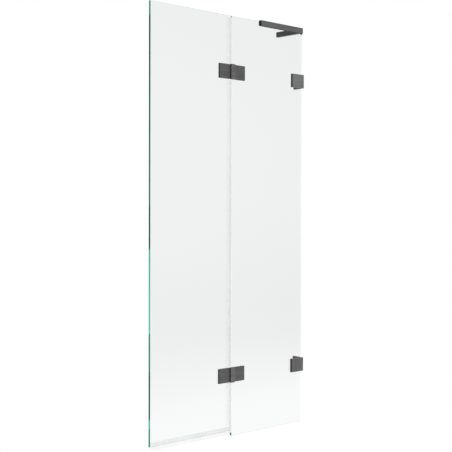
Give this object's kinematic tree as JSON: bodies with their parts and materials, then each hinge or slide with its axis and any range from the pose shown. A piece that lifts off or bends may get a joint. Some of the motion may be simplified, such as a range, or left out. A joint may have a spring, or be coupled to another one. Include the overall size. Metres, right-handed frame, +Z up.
{
  "type": "two-panel bath screen",
  "caption": "Frameless bath screen of a fixed and an outward-swinging clear glass panel, with square hinges, wall brackets, a head stabiliser and clear seals.",
  "frame": {"origin": "on the wall plane, on the mid-plane of the glass, level with the foot of the fixed glass (the bath's rim)", "axes": "+X into the wall, so the screen reaches away along -X; +Y to the shower side, -Y to the room; +Z up"},
  "size_m": [0.754, 0.142, 1.5054],
  "materials": {
    "anthracite_metal": "brushed anthracite coating with a fine lengthwise grain",
    "anthracite_plastic": "satin, coloured to match the metal",
    "clear_glass": "clear toughened glass with polished green edges",
    "clear_vinyl": "clear flexible vinyl, slightly milky",
    "gasket_rubber": "matt black rubber sheet",
    "stainless_steel": "plain stainless steel",
    "white_nylon": "natural nylon"
  },
  "bodies": {
    "fixed_side": {"bracket_gaskets": "gasket_rubber", "bracket_glass_bushes": "white_nylon", "bracket_screws": "stainless_steel", "fixed_glass": "clear_glass", "fixed_hinge_gaskets": "gasket_rubber", "fixed_hinge_glass_bushes": "white_nylon", "fixed_hinge_screws": "stainless_steel", "lower_bracket_angle": "anthracite_metal", "lower_bracket_front_plate": "anthracite_metal", "lower_hinge_bottom_cap": "anthracite_metal", "lower_hinge_fixed_leaf": "anthracite_metal", "lower_hinge_fixed_rear_plate": "anthracite_metal", "lower_hinge_pin": "stainless_steel", "lower_hinge_washer": "white_nylon", "stabiliser_bar_caps": "anthracite_plastic", "stabiliser_channel": "anthracite_metal", "stabiliser_end_cap": "anthracite_plastic", "stabiliser_joint_screws": "stainless_steel", "stabiliser_liner": "gasket_rubber", "stabiliser_wall_bar": "anthracite_metal", "stabiliser_wall_plug": "anthracite_plastic", "upper_bracket_angle": "anthracite_metal", "upper_bracket_front_plate": "anthracite_metal", "upper_hinge_bottom_cap": "anthracite_metal", "upper_hinge_fixed_leaf": "anthracite_metal", "upper_hinge_fixed_rear_plate": "anthracite_metal", "upper_hinge_pin": "stainless_steel", "upper_hinge_washer": "white_nylon"},
    "swing_panel": {"drip_seal": "clear_vinyl", "lower_hinge_bush": "white_nylon", "lower_hinge_swing_leaf": "anthracite_metal", "lower_hinge_swing_rear_plate": "anthracite_metal", "lower_hinge_top_cap": "anthracite_metal", "swing_glass": "clear_glass", "swing_hinge_gaskets": "gasket_rubber", "swing_hinge_glass_bushes": "white_nylon", "swing_hinge_screws": "stainless_steel", "upper_hinge_bush": "white_nylon", "upper_hinge_swing_leaf": "anthracite_metal", "upper_hinge_swing_rear_plate": "anthracite_metal", "upper_hinge_top_cap": "anthracite_metal", "vertical_seal_bottom": "clear_vinyl", "vertical_seal_middle": "clear_vinyl", "vertical_seal_top": "clear_vinyl"}
  },
  "joints": [
    {"name": "panel_swing", "type": "hinge", "parent": "fixed_side", "child": "swing_panel", "pos_m": [-0.382, -0.013, 0.75], "axis": [0, 0, 1], "range_deg": [0, 180]}
  ]
}
